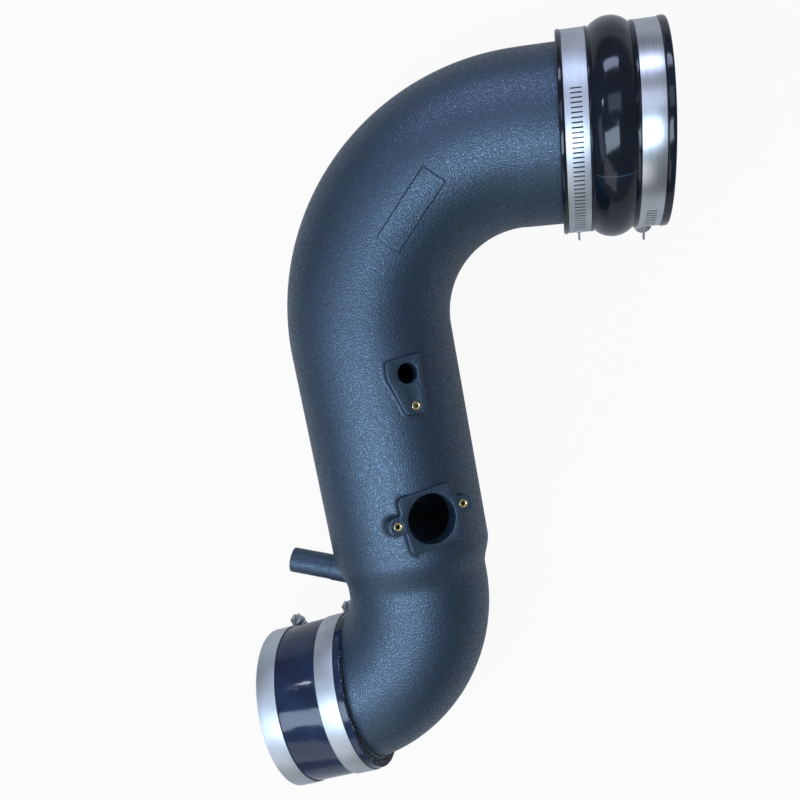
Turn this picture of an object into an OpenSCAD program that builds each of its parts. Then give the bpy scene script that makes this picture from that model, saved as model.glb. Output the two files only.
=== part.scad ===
// Cold air intake pipe: a moulded duct in an S shape that joins an air box to
// a throttle body, with a hump hose, a straight hose and four worm drive clamps.
// The centreline lies flat, at one height above the ground plane. The long leg
// runs along Y, and the origin is below the middle of the whole part.

/* [Moulded tube] */
// Outer diameter at the air box end and around the main bend
tube_d = 101.6; // [96:0.2:108]
// Outer diameter at the low end of the long leg, just before the shoulder
leg_end_d = 99; // [94:0.2:101]
// Outer diameter of the elbow and of the outlet spigot
elbow_d = 88.9; // [84:0.1:92]
// Wall thickness
wall_t = 4; // [3:0.1:4.4]
// Angle of the main bend
main_bend_a = 97; // [92:0.5:100]
// Centreline radius of the main bend
main_bend_r = 100; // [92:1:115]
// Angle of the elbow
elbow_a = 82.5; // [78:0.5:86]
// Centreline radius of the elbow
elbow_r = 70; // [66:1:78]
// Straight length between the main bend and the first clamp
inlet_straight = 25; // [20:1:40]
// Length of the long leg between the two bends
leg_l = 155.6; // [150:0.2:190]
// Length of the conical shoulder
shoulder_l = 14; // [10:1:18]
// Distance from the start of the shoulder to the start of the elbow
shoulder_lead = 20; // [19:1:28]
// Height of the bare raised plate on the main bend
plate_h = 0.9; // [0.6:0.1:1.4]
// Length of the bare raised plate
plate_l = 46.4; // [36:0.4:50]
// Width of the bare raised plate
plate_w = 15.2; // [12:0.4:18]

/* [Sensor pads] */
// Angle by which both pads turn away from straight up, about the leg
pad_facing = 31; // [25:1:37]
// Height of the air flow sensor pad over the skin of the leg, at its middle
flow_pad_rise = 1.76; // [1.2:0.02:3]
// Distance along the leg from the air flow sensor bore to the elbow
flow_pad_lead = 47.6; // [44:0.2:52]
// Bore of the air flow sensor hole
flow_bore_d = 29.5; // [27:0.5:30]
// Depth of the air flow sensor bore, with the collar inside the duct
flow_bore_l = 11; // [9:0.5:12]
// Side of the square part of the air flow sensor pad
flow_pad_w = 35; // [33:0.5:37]
// Distance between the two air flow sensor inserts
flow_insert_pitch = 42; // [40:0.5:44]
// Offset of the insert line from the middle of the bore, along the leg
flow_insert_up = 2.2; // [0:0.1:4]
// Turn of the air flow sensor pad in its own plane
flow_pad_turn = 5; // [0:0.5:8]
// Height of the temperature sensor pad over the skin of the leg, at its middle
temp_pad_rise = 3; // [2.5:0.1:4.5]
// Width of the temperature sensor pad beside its bore
temp_pad_w = 22; // [21:0.5:24]
// Distance along the leg from the main bend to the temperature sensor bore
temp_pad_at = 22.7; // [20:0.5:26]
// Bore of the temperature sensor hole
temp_bore_d = 12; // [10:0.5:13]
// Distance from the temperature sensor bore to its insert
temp_insert_at = 19.2; // [18:0.2:21]
// Outer diameter of a threaded insert
insert_d = 5.2; // [4.8:0.1:5.6]
// Core diameter of a threaded insert's hole
insert_bore_d = 3.3; // [3:0.1:3.6]
// Length of a threaded insert
insert_l = 6; // [4:0.5:6.5]

/* [Breather nipple] */
// Outer diameter of the nipple
nipple_d = 16; // [13:0.5:18]
// Bore of the nipple
nipple_bore_d = 11; // [8:0.5:12]
// Length of the nipple from the side of the leg
nipple_l = 32.7; // [24:0.5:44]
// Length of the slightly thicker root of the nipple
nipple_root_l = 5; // [4:0.5:9]
// Angle by which the nipple leans towards the air box
nipple_lean = 18; // [8:1:24]
// Distance along the leg from the nipple to the elbow
nipple_lead = 13.6; // [11:0.2:19]

/* [Hoses] */
// Wall thickness of both hoses at the clamps
hose_t = 4.9; // [4:0.1:5.5]
// Clearance between a hose and the round face in it or the band on it
seat_gap = 0.05; // [0.02:0.01:0.15]
// Length of hump hose past the band on the tube's side
hump_end_in = 3; // [2.4:0.2:6]
// Length of hump hose past the band on the air box side
hump_end_out = 4.4; // [2.4:0.2:6]
// Distance between the near edges of the two upper bands
upper_band_pitch = 38.5; // [37:0.5:46]
// Height of the hump over the clamp seats
hump_rise = 4.8; // [3:0.2:6]
// Section radius of the hump
hump_section_r = 15; // [13.5:0.5:17]
// Height of the lips beside the bands
lip_h = 1.2; // [0.8:0.1:1.6]
// Length of the throttle hose
throttle_hose_l = 57; // [54:1:60]
// Difference between the elbow's outer diameter and the free bore of the throttle hose
throttle_stretch = 1; // [0.2:0.1:1.8]
// Length of straight hose between the end of the elbow and the free end
throttle_straight = 41.5; // [40:0.5:46]
// Distance from the free end of the throttle hose to its second band
elbow_band_at = 40; // [38:0.5:41]
// Distance from the free end of the throttle hose to the end of the spigot
spigot_at = 26; // [22:1:30]

/* [Worm drive clamps] */
// Width of a band
band_w = 12.7; // [12:0.1:13]
// Thickness of a band
band_t = 0.7; // [0.6:0.1:0.9]
// Thickness of the saddle below a screw housing
saddle_t = 0.8; // [0.7:0.1:1]
// Length of a screw housing
housing_l = 13; // [12:0.5:14]
// Outer radius of the tunnel of a screw housing
housing_r = 5.3; // [5.1:0.1:5.6]
// Radius of a worm screw
screw_r = 4; // [3.6:0.1:4]
// Clearance around a worm screw
screw_gap = 0.3; // [0.2:0.05:0.4]
// Width across the flats of a screw head
head_af = 8; // [7:0.5:8.5]
// Length of a screw head
head_l = 4.5; // [4:0.5:6]
// Distance from one band slot to the next
slot_pitch = 2.5; // [2.2:0.1:3]
// Width of a band slot
slot_w = 0.8; // [0.6:0.1:1]
// Length of a band slot
slot_l = 5.9; // [5:0.1:6.5]
// Place of the screw of the air box clamp around the hose
airbox_screw_a = 211; // [200:1:225]
// Place of the screw of the inlet clamp around the hose
inlet_screw_a = 216; // [200:1:225]
// Place of the screw of the elbow clamp around the hose
elbow_screw_a = -56; // [-70:1:-40]
// Place of the screw of the throttle clamp around the hose
throttle_screw_a = -55; // [-70:1:-40]

/* [Hidden] */

$fn = 96;
plastic = [0.13, 0.15, 0.18];
rubber = [0.07, 0.08, 0.11];
steel = [0.74, 0.75, 0.76];
zinc = [0.62, 0.64, 0.66];
brass = [0.80, 0.66, 0.34];

tube_r = tube_d / 2;
bend_r = tube_r - 0.1;
leg_end_r = leg_end_d / 2;
spigot_r = elbow_d / 2;
shoulder_at = leg_l - shoulder_lead;
// Places along the leg, and the pads' faces from the leg's axis
flow_pad_at = leg_l - flow_pad_lead;
nipple_at = leg_l - nipple_lead;
function leg_r_at(y) = bend_r + (leg_end_r - bend_r) * min(y / shoulder_at, 1);
flow_pad_h = leg_r_at(flow_pad_at) + flow_pad_rise;
temp_pad_h = leg_r_at(temp_pad_at) + temp_pad_rise;
// The hump hose: seats for the bands, the free end and the hump's middle
upper_bore_r = tube_r + seat_gap;
upper_seat_r = upper_bore_r + hose_t;
upper_clamp_r = upper_seat_r + seat_gap;
hump_r = upper_seat_r + hump_rise;
hump_mid = (upper_band_pitch + band_w) / 2;
hump_out = upper_band_pitch + band_w + hump_end_out;
hump_core_r = hump_section_r - hose_t + 0.2;
tube_in_hump = band_w + 3.8;
// The throttle hose: seat for the bands, mouth on the elbow
lower_bore_r = spigot_r + seat_gap;
lower_seat_r = lower_bore_r + hose_t;
lower_clamp_r = lower_seat_r + seat_gap;
mouth_at = throttle_hose_l - throttle_straight;
spigot_l = throttle_hose_l - spigot_at;
web_t = wall_t;
lead_l = 0.75 * wall_t;
lead_r = 0.3125 * wall_t;
// Directions and corner points of the centreline
inlet_dir = [sin(main_bend_a), cos(main_bend_a)];
outlet_dir = [-sin(elbow_a), -cos(elbow_a)];
inlet_end = [main_bend_r, 0] + main_bend_r * [-cos(main_bend_a), sin(main_bend_a)];
inlet_pt = inlet_end + inlet_straight * inlet_dir;
elbow_end = [-elbow_r, -leg_l] + elbow_r * [cos(elbow_a), -sin(elbow_a)];
outlet_pt = elbow_end + throttle_straight * outlet_dir;
// The box around the whole part, from the hose ends and the hump
x_high = inlet_pt[0] + hump_out * inlet_dir[0] + (upper_seat_r + lip_h) * abs(inlet_dir[1]);
x_low = outlet_pt[0] - lower_seat_r * abs(outlet_dir[1]);
y_high = inlet_pt[1] + hump_mid * inlet_dir[1] + hump_r;
y_low = outlet_pt[1] - (lower_clamp_r + band_t) * abs(outlet_dir[0]);
mid_x = (x_low + x_high) / 2;
mid_y = (y_low + y_high) / 2;
base_h = hump_r;
// Clamp parts
screw_h = saddle_t + screw_r + screw_gap / 2;
collar_r = screw_r + 1.1;
collar_t = 1.2;
head_r = head_af / 2 / cos(30);
saddle_half_a = 6.4;
nipple_root_r = nipple_d / 2 + 0.4;

// Corner points of a convex outline, with each corner turned into an arc
function corner_arc(p, c, n, r, steps) =
    let (u = (p - c) / norm(p - c), v = (n - c) / norm(n - c),
        half = acos(u * v) / 2, b = (u + v) / norm(u + v),
        mid = c + b * r / sin(half),
        a0 = atan2((c + u * r / tan(half) - mid)[1], (c + u * r / tan(half) - mid)[0]),
        turn = 180 - 2 * half)
    [for (i = [0:steps]) mid + r * [cos(a0 + turn * i / steps), sin(a0 + turn * i / steps)]];
function rounded(pts, r, steps = 6) =
    [for (i = [0:len(pts) - 1])
        each corner_arc(pts[(i + len(pts) - 1) % len(pts)], pts[i], pts[(i + 1) % len(pts)], r, steps)];
function rect_pts(w, h) = [[-w / 2, -h / 2], [w / 2, -h / 2], [w / 2, h / 2], [-w / 2, h / 2]];

// Frame of the part: the leg's top end is at the start of the main bend
module placed() {
    translate([-mid_x, -mid_y, base_h]) children();
}
// Frame at the inlet: Z runs along the hump hose towards the air box
module at_inlet(z = 0) {
    placed()
        translate([inlet_pt[0], inlet_pt[1], 0])
            rotate([90, 0, 180 - main_bend_a])
                translate([0, 0, z]) children();
}
// Frame at the free end of the throttle hose: Z runs into the hose
module at_outlet(z = 0) {
    placed()
        translate([outlet_pt[0], outlet_pt[1], 0])
            rotate([90, 0, 180 - elbow_a])
                translate([0, 0, z]) children();
}
// Frame of the pads: Z is square to the pad, through the leg's axis
module at_pad(y, turn = 0) {
    translate([0, -y, 0]) rotate([0, pad_facing, 0]) rotate([0, 0, turn]) children();
}
module at_temp_insert() {
    at_pad(temp_pad_at + temp_insert_at) translate([2.1, 0, 0]) children();
}
module at_flow_insert(side) {
    at_pad(flow_pad_at, flow_pad_turn)
        translate([side * flow_insert_pitch / 2 - 0.5, flow_insert_up, 0]) children();
}
module at_nipple() {
    translate([-leg_end_r, -nipple_at, 0]) rotate([0, -90, -nipple_lean]) children();
}

// Main bend with the straight inlet. The inlet is turned to size: it stands a
// hair proud of the bend that it grows out of
module main_bend() {
    lap = 0.5;
    color(plastic) placed() {
        raised_plate();
        translate([inlet_end[0], inlet_end[1], 0]) rotate([90, 0, 180 - main_bend_a])
            rotate_extrude() translate([tube_r - wall_t, -lap])
                square([wall_t, lap + inlet_straight + tube_in_hump]);
        translate([main_bend_r, 0, 0]) mirror([1, 0, 0])
            rotate_extrude(angle = main_bend_a) translate([main_bend_r, 0]) difference() {
                circle(r = bend_r);
                circle(r = bend_r - wall_t);
            }
    }
}
// Long leg, which tapers a little, with the shoulder down to the elbow's size
module leg() {
    color(plastic) placed() difference() {
        rotate([90, 0, 0]) rotate_extrude() polygon([
            [bend_r - wall_t, 0], [bend_r, 0], [leg_end_r, shoulder_at],
            [spigot_r, shoulder_at + shoulder_l], [spigot_r, leg_l], [spigot_r - wall_t, leg_l],
            [spigot_r - wall_t, shoulder_at + shoulder_l], [leg_end_r - wall_t, shoulder_at]]);
        flow_pad_block();
        temp_pad_block();
        at_nipple() translate([0, 0, -12]) cylinder(h = 24, r = nipple_root_r);
    }
}
// Solid that fills the inside of the leg and the shoulder
module leg_core() {
    rotate([90, 0, 0]) rotate_extrude() polygon([
        [0, -1], [bend_r - wall_t, -1], [bend_r - wall_t, 0], [leg_end_r - wall_t, shoulder_at],
        [spigot_r - wall_t, shoulder_at + shoulder_l], [spigot_r - wall_t, leg_l], [0, leg_l]]);
}
// Frame at the end of the elbow: Z runs back into the elbow
module at_elbow_end(z = 0) {
    translate([elbow_end[0], elbow_end[1], 0]) rotate([90, 0, 180 - elbow_a])
        translate([0, 0, z]) children();
}
module elbow_sweep() {
    translate([-elbow_r, -leg_l, 0]) mirror([0, 1, 0])
        rotate_extrude(angle = elbow_a) translate([elbow_r, 0]) children();
}
// Elbow, cut off square to the throttle hose at its mouth, with an inner lip
// and a straight spigot that starts with a lead chamfer
module elbow() {
    lip_r = spigot_r - 1.5 * wall_t;
    color(plastic) placed() {
        difference() {
            elbow_sweep() difference() {
                circle(r = spigot_r);
                circle(r = spigot_r - wall_t);
            }
            at_elbow_end() translate([-elbow_d, -elbow_d, -elbow_r])
                cube([2 * elbow_d, 2 * elbow_d, elbow_r + mouth_at]);
        }
        difference() {
            intersection() {
                elbow_sweep() circle(r = spigot_r - 1);
                at_elbow_end(mouth_at) translate([-elbow_d, -elbow_d, 0])
                    cube([2 * elbow_d, 2 * elbow_d, web_t]);
            }
            at_elbow_end(mouth_at - 1) cylinder(h = web_t + 2, r = lip_r);
        }
        at_elbow_end(mouth_at - spigot_l) rotate_extrude() polygon([
            [spigot_r - wall_t, 0], [spigot_r - lead_r, 0], [spigot_r, lead_l],
            [spigot_r, spigot_l], [spigot_r - wall_t, spigot_l]]);
    }
}
module flow_pad_outline() {
    translate([-0.5, 0]) polygon(rounded(rect_pts(flow_pad_w, flow_pad_w), 4));
    translate([-0.5, flow_insert_up])
        polygon(rounded(rect_pts(flow_insert_pitch + 10.8, 10.8), 5.2, 8));
}
module temp_pad_outline() {
    w = temp_pad_w;
    polygon(rounded([[-0.21 * w, -temp_insert_at - 0.21 * w], [0.38 * w, -temp_insert_at - 0.24 * w],
        [0.45 * w, 0.47 * w], [-0.53 * w, 0.39 * w], [-0.55 * w, -0.065 * w]], 0.1 * w));
}

module flow_pad_block() {
    root = 0.63 * leg_end_r;
    at_pad(flow_pad_at, flow_pad_turn) translate([0, 0, root])
        linear_extrude(flow_pad_h - root) flow_pad_outline();
}
module temp_pad_block() {
    root = 0.8 * leg_end_r;
    at_pad(temp_pad_at) translate([0, 0, root]) linear_extrude(temp_pad_h - root) temp_pad_outline();
}
// Pads and nipple belong to the leg's moulding and fill its openings
module flow_pad() {
    color(plastic) placed() difference() {
        union() {
            difference() {
                flow_pad_block();
                leg_core();
            }
            // Collar around the bore, inside the duct
            at_pad(flow_pad_at, flow_pad_turn) translate([-0.5, 0, flow_pad_h - flow_bore_l])
                cylinder(h = flow_bore_l - 1, d = flow_bore_d + 5.2);
        }
        at_pad(flow_pad_at, flow_pad_turn) translate([-0.5, 0, leg_end_r / 2])
            cylinder(h = leg_end_r, d = flow_bore_d);
        for (side = [-1, 1])
            at_flow_insert(side) translate([0, 0, flow_pad_h - insert_l])
                cylinder(h = insert_l + 1, d = insert_d);
    }
}
module temp_pad() {
    color(plastic) placed() difference() {
        temp_pad_block();
        leg_core();
        at_pad(temp_pad_at) translate([0.5, 0, leg_end_r / 2]) cylinder(h = leg_end_r, d = temp_bore_d);
        at_temp_insert() translate([0, 0, temp_pad_h - insert_l]) cylinder(h = insert_l + 1, d = insert_d);
    }
}
module nipple() {
    color(plastic) placed() difference() {
        at_nipple() translate([0, 0, -12]) rotate_extrude() polygon([
            [nipple_bore_d / 2, 0], [nipple_root_r, 0], [nipple_root_r, 12 + nipple_root_l],
            [nipple_d / 2, 12 + nipple_root_l], [nipple_d / 2, 12 + nipple_l],
            [nipple_bore_d / 2, 12 + nipple_l]]);
        leg_core();
    }
}
// A low bare rectangle that follows the skin of the main bend
module raised_plate() {
    intersection() {
        translate([main_bend_r, 0, 0]) rotate([0, 0, 180 - 75]) rotate_extrude(angle = 50)
            translate([main_bend_r, 0]) circle(r = bend_r + plate_h);
        translate([main_bend_r, 0, 0]) rotate([0, 0, -51.4]) translate([-main_bend_r, 0, 0])
            rotate([0, 17.9, 0]) rotate([0, 0, 5.8])
                translate([-plate_w / 2, -plate_l / 2, tube_r - 2]) cube([plate_w, plate_l, 8]);
    }
}

module threaded_insert() {
    color(brass) translate([0, 0, -insert_l]) difference() {
        cylinder(h = insert_l, d = insert_d);
        translate([0, 0, -1]) cylinder(h = insert_l + 2, d = insert_bore_d);
    }
}
module temp_insert() {
    placed() at_temp_insert() translate([0, 0, temp_pad_h]) threaded_insert();
}
module flow_insert_left() {
    placed() at_flow_insert(-1) translate([0, 0, flow_pad_h]) threaded_insert();
}
module flow_insert_right() {
    placed() at_flow_insert(1) translate([0, 0, flow_pad_h]) threaded_insert();
}

// Silicone hump hose: two clamp seats with lips, and a hollow hump between
module hump_hose() {
    gap = 0.3;
    lip_w = 1.7;
    color(rubber) at_inlet() rotate_extrude() difference() {
        union() {
            translate([upper_bore_r, -hump_end_in]) square([hose_t, hump_end_in + hump_out]);
            translate([upper_bore_r, -hump_end_in]) square([hose_t + lip_h, hump_end_in - gap]);
            translate([upper_bore_r, band_w + gap]) square([hose_t + lip_h, lip_w]);
            translate([upper_bore_r, upper_band_pitch - gap - lip_w]) square([hose_t + lip_h, lip_w]);
            translate([upper_bore_r, upper_band_pitch + band_w + gap])
                square([hose_t + lip_h, hump_end_out - gap]);
            intersection() {
                translate([hump_r - hump_section_r, hump_mid]) circle(r = hump_section_r);
                translate([upper_bore_r + 1, hump_mid - 12]) square([20, 24]);
            }
        }
        intersection() {
            translate([hump_r - hump_section_r, hump_mid]) circle(r = hump_core_r);
            translate([upper_bore_r - 1, hump_mid - 12]) square([20, 24]);
        }
    }
}
// Straight silicone hose from the elbow's spigot to the throttle body. The
// spigot stretches its bore, with the step on the spigot's lead
module throttle_hose() {
    mouth_r = (elbow_d - throttle_stretch) / 2;
    color(rubber) at_outlet() rotate_extrude() polygon([
        [mouth_r, 0], [lower_seat_r, 0], [lower_seat_r, throttle_hose_l],
        [lower_bore_r, throttle_hose_l], [lower_bore_r, spigot_at + lead_l], [mouth_r, spigot_at]]);
}

// A worm drive clamp is drawn around Z, with the screw at X+ and its head at Y+.
// Its seat_r is the inner radius of the band
module arc_layer(r, t, w, a0, a1) {
    rotate([0, 0, a0]) rotate_extrude(angle = a1 - a0)
        translate([r, -w / 2]) square([t, w]);
}
// Band with a slotted run on the head's side and an overlapping slotted tail
module clamp_band(seat_r, slots, tail_a) {
    step = slot_pitch / seat_r * 180 / PI;
    tail_slots = floor((tail_a - 6) / step);
    color(steel) difference() {
        union() {
            difference() {
                cylinder(h = band_w, r = seat_r + band_t, center = true);
                cylinder(h = band_w + 2, r = seat_r, center = true);
            }
            arc_layer(seat_r + band_t / 2, band_t * 1.5, band_w, -saddle_half_a - tail_a, -saddle_half_a);
        }
        if (slots > 0)
            for (i = [0:slots - 1])
                rotate([0, 0, saddle_half_a + 1.5 + (i + 0.5) * step])
                    translate([seat_r + band_t / 2, 0, 0]) cube([band_t + 1, slot_w, slot_l], center = true);
        for (i = [0:tail_slots - 1])
            rotate([0, 0, -saddle_half_a - 2 - (i + 0.5) * step])
                translate([seat_r + band_t * 1.5 + 0.5, 0, 0])
                    cube([band_t + 1, slot_w, slot_l], center = true);
    }
}
module clamp_saddle(seat_r) {
    color(zinc) arc_layer(seat_r + band_t, saddle_t, band_w, -saddle_half_a, saddle_half_a);
}
// Stamped tunnel over the screw, standing on two feet on the saddle
module clamp_housing(seat_r) {
    r = seat_r + band_t;
    tunnel_r = screw_r + screw_gap;
    color(zinc) difference() {
        union() {
            translate([r + screw_h, 0, 0]) rotate([90, 0, 0])
                cylinder(h = housing_l, r = housing_r, center = true);
            translate([r - 2, -housing_l / 2, -housing_r]) cube([screw_h + 2, housing_l, 2 * housing_r]);
            translate([r - 2, -housing_l / 2, -band_w / 2]) cube([2 + saddle_t + 1, housing_l, band_w]);
        }
        translate([r + screw_h, 0, 0]) rotate([90, 0, 0])
            cylinder(h = housing_l + 2, r = tunnel_r, center = true);
        translate([r - 3, -housing_l / 2 - 1, -tunnel_r]) cube([screw_h + 3, housing_l + 2, 2 * tunnel_r]);
        cylinder(h = band_w + 4, r = r + saddle_t, center = true);
    }
}
// Worm screw with a collar and a slotted hexagon head
module clamp_screw(seat_r) {
    r = seat_r + band_t;
    color(zinc) translate([r + screw_h, 0, 0]) rotate([-90, 0, 0]) difference() {
        union() {
            translate([0, 0, -housing_l / 2 - 1]) cylinder(h = housing_l + 1, r = screw_r);
            translate([0, 0, housing_l / 2]) cylinder(h = collar_t, r = collar_r);
            translate([0, 0, housing_l / 2 + collar_t]) cylinder(h = head_l, r = head_r, $fn = 6);
        }
        translate([-6, -0.6, housing_l / 2 + collar_t + head_l - 1.6]) cube([12, 1.2, 3]);
    }
}
// Places on the part: the upper clamps are turned over, so that every head faces up
module on_airbox_clamp() {
    at_inlet(upper_band_pitch + band_w / 2) rotate([0, 0, airbox_screw_a]) rotate([180, 0, 0]) children();
}
module on_inlet_clamp() {
    at_inlet(band_w / 2) rotate([0, 0, inlet_screw_a]) rotate([180, 0, 0]) children();
}
module on_elbow_clamp() {
    at_outlet(elbow_band_at + band_w / 2) rotate([0, 0, elbow_screw_a]) children();
}
module on_throttle_clamp() {
    at_outlet(band_w / 2) rotate([0, 0, throttle_screw_a]) children();
}
module airbox_clamp_band() { on_airbox_clamp() clamp_band(upper_clamp_r, 22, 60); }
module airbox_clamp_saddle() { on_airbox_clamp() clamp_saddle(upper_clamp_r); }
module airbox_clamp_housing() { on_airbox_clamp() clamp_housing(upper_clamp_r); }
module airbox_clamp_screw() { on_airbox_clamp() clamp_screw(upper_clamp_r); }
module inlet_clamp_band() { on_inlet_clamp() clamp_band(upper_clamp_r, 54, 40); }
module inlet_clamp_saddle() { on_inlet_clamp() clamp_saddle(upper_clamp_r); }
module inlet_clamp_housing() { on_inlet_clamp() clamp_housing(upper_clamp_r); }
module inlet_clamp_screw() { on_inlet_clamp() clamp_screw(upper_clamp_r); }
module elbow_clamp_band() { on_elbow_clamp() clamp_band(lower_clamp_r, 0, 70); }
module elbow_clamp_saddle() { on_elbow_clamp() clamp_saddle(lower_clamp_r); }
module elbow_clamp_housing() { on_elbow_clamp() clamp_housing(lower_clamp_r); }
module elbow_clamp_screw() { on_elbow_clamp() clamp_screw(lower_clamp_r); }
module throttle_clamp_band() { on_throttle_clamp() clamp_band(lower_clamp_r, 0, 70); }
module throttle_clamp_saddle() { on_throttle_clamp() clamp_saddle(lower_clamp_r); }
module throttle_clamp_housing() { on_throttle_clamp() clamp_housing(lower_clamp_r); }
module throttle_clamp_screw() { on_throttle_clamp() clamp_screw(lower_clamp_r); }

main_bend();
leg();
elbow();
flow_pad();
temp_pad();
nipple();
temp_insert();
flow_insert_left();
flow_insert_right();
hump_hose();
throttle_hose();
airbox_clamp_band();
airbox_clamp_saddle();
airbox_clamp_housing();
airbox_clamp_screw();
inlet_clamp_band();
inlet_clamp_saddle();
inlet_clamp_housing();
inlet_clamp_screw();
elbow_clamp_band();
elbow_clamp_saddle();
elbow_clamp_housing();
elbow_clamp_screw();
throttle_clamp_band();
throttle_clamp_saddle();
throttle_clamp_housing();
throttle_clamp_screw();
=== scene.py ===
import math
import bmesh
import bpy
from mathutils import Matrix, Vector, noise
from mathutils.bvhtree import BVHTree


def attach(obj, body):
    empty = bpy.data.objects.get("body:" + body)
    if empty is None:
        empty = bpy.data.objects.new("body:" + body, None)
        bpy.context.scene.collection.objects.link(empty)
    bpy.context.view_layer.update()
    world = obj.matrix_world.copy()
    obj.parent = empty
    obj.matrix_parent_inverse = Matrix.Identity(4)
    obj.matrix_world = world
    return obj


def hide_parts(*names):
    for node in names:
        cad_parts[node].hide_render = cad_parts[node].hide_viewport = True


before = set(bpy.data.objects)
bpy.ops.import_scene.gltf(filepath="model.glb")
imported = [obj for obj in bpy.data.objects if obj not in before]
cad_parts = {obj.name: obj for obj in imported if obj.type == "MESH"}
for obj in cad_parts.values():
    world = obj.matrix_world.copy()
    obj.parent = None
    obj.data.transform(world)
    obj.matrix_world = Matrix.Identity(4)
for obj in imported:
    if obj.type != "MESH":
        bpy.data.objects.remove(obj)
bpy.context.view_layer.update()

# Cold air intake pipe. Modelled in millimetres in frames of its own, then placed in metres.


def turn(axis, degrees):
    return Matrix.Rotation(math.radians(degrees), 4, axis)


def shift(x=0.0, y=0.0, z=0.0):
    return Matrix.Translation((x, y, z))


# Frames: the pipe frame has the top end of the long leg at its origin
pipe = dict(place=(-45.335, 63.25, 60.55), bendRadius=100.0, bendAngle=97.0, elbowRadius=70.0, elbowAngle=82.5,
            legLength=155.6, inletPoint=(137.0, 96.21), outletPoint=(-102.0, -230.42), padFacing=31.0)
pipeFrame = Matrix.Scale(0.001, 4) @ shift(*pipe["place"])
inletFrame = shift(pipe["inletPoint"][0], pipe["inletPoint"][1]) @ turn("Z", 180 - pipe["bendAngle"]) @ turn("X", 90)
outletFrame = shift(pipe["outletPoint"][0], pipe["outletPoint"][1]) @ turn("Z", 180 - pipe["elbowAngle"]) @ turn("X", 90)


def padFrame(along, spin=0.0):
    return shift(y=-along) @ turn("Y", pipe["padFacing"]) @ turn("Z", spin)


# ---- small tools ----
def linear(hexColour):
    rgb = [int(hexColour[i:i + 2], 16) / 255 for i in (1, 3, 5)]
    return [c / 12.92 if c <= 0.04045 else ((c + 0.055) / 1.055) ** 2.4 for c in rgb] + [1.0]


def addNode(tree, kind, settings=None, **inputs):
    node = tree.nodes.new(kind)
    for name, value in (settings or {}).items():
        setattr(node, name, value)
    for name, value in inputs.items():
        key = int(name[1:]) if name[0] == "i" and name[1:].isdigit() else name.replace("_", " ")
        if isinstance(value, bpy.types.NodeSocket):
            tree.links.new(value, node.inputs[key])
        else:
            node.inputs[key].default_value = value
    return node


def newMaterial(name):
    material = bpy.data.materials.new(name)
    material.use_nodes = True
    tree = material.node_tree
    tree.nodes.clear()
    shader = tree.nodes.new("ShaderNodeBsdfPrincipled")
    out = tree.nodes.new("ShaderNodeOutputMaterial")
    tree.links.new(shader.outputs[0], out.inputs[0])
    return material, tree, shader


def ramp(tree, fac, stops):
    node = addNode(tree, "ShaderNodeValToRGB", Fac=fac)
    elements = node.color_ramp.elements
    for i, (at, colour) in enumerate(stops):
        element = elements[i] if i < 2 else elements.new(at)
        element.position = at
        element.color = linear(colour) if isinstance(colour, str) else (colour, colour, colour, 1.0)
    return node.outputs["Color"]


def evaluated(piece):
    bpy.context.view_layer.update()
    mesh = bpy.data.meshes.new_from_object(piece.evaluated_get(bpy.context.evaluated_depsgraph_get()))
    piece.modifiers.clear()
    piece.data = mesh
    return mesh


def finishPiece(piece, material, nodes=(), smoothAngle=40.0):
    mesh = piece.data
    mesh.materials.clear()
    mesh.materials.append(material)
    mesh.shade_smooth()
    mesh.set_sharp_from_angle(angle=math.radians(smoothAngle))
    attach(piece, "root")
    if nodes:
        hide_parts(*nodes)
    return piece


def meshPiece(name, bm, place):
    bm.transform(pipeFrame @ place)
    bm.normal_update()
    mesh = bpy.data.meshes.new(name)
    bm.to_mesh(mesh)
    bm.free()
    piece = bpy.data.objects.new(name, mesh)
    bpy.context.scene.collection.objects.link(piece)
    return piece


def cutBy(piece, cutter, operation="DIFFERENCE"):
    modifier = piece.modifiers.new("cut", "BOOLEAN")
    modifier.object = cutter
    modifier.operation = operation
    modifier.solver = "EXACT"
    evaluated(piece)
    bpy.data.objects.remove(cutter)


def newVerts(result):
    return [g for g in result["geom"] if isinstance(g, bmesh.types.BMVert)]


def pullEdges(bm, edges):
    result = bmesh.ops.extrude_edge_only(bm, edges=edges)
    verts = set(newVerts(result))
    ring = [g for g in result["geom"] if isinstance(g, bmesh.types.BMEdge) and g.verts[0] in verts and g.verts[1] in verts]
    return list(verts), ring


def outlineFace(bm, points, toPoint, steps=5):
    verts = [bm.verts.new(toPoint(p)) for p in points]
    face = bm.faces.new(verts)
    for vert, p in zip(verts, points):
        if p[2] > 0:
            bmesh.ops.bevel(bm, geom=[vert], offset=p[2], offset_type="OFFSET", affect="VERTICES", segments=steps,
                            profile=0.5, material=-1, clamp_overlap=False)
    return [f for f in bm.faces if f.is_valid][-1]


def lathe(profile, steps=192, cornerSteps=3):
    """Turns a closed profile of (radius, height, corner size) round Z."""
    bm = bmesh.new()
    outlineFace(bm, profile, lambda p: (p[0], 0.0, p[1]), cornerSteps)
    bmesh.ops.delete(bm, geom=bm.faces[:], context="FACES_ONLY")
    bmesh.ops.spin(bm, geom=bm.verts[:] + bm.edges[:], cent=(0, 0, 0), axis=(0, 0, 1), angle=2 * math.pi,
                   steps=steps, use_merge=True)
    bmesh.ops.remove_doubles(bm, verts=bm.verts[:], dist=0.0005)
    bmesh.ops.recalc_face_normals(bm, faces=bm.faces[:])
    return bm


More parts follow.
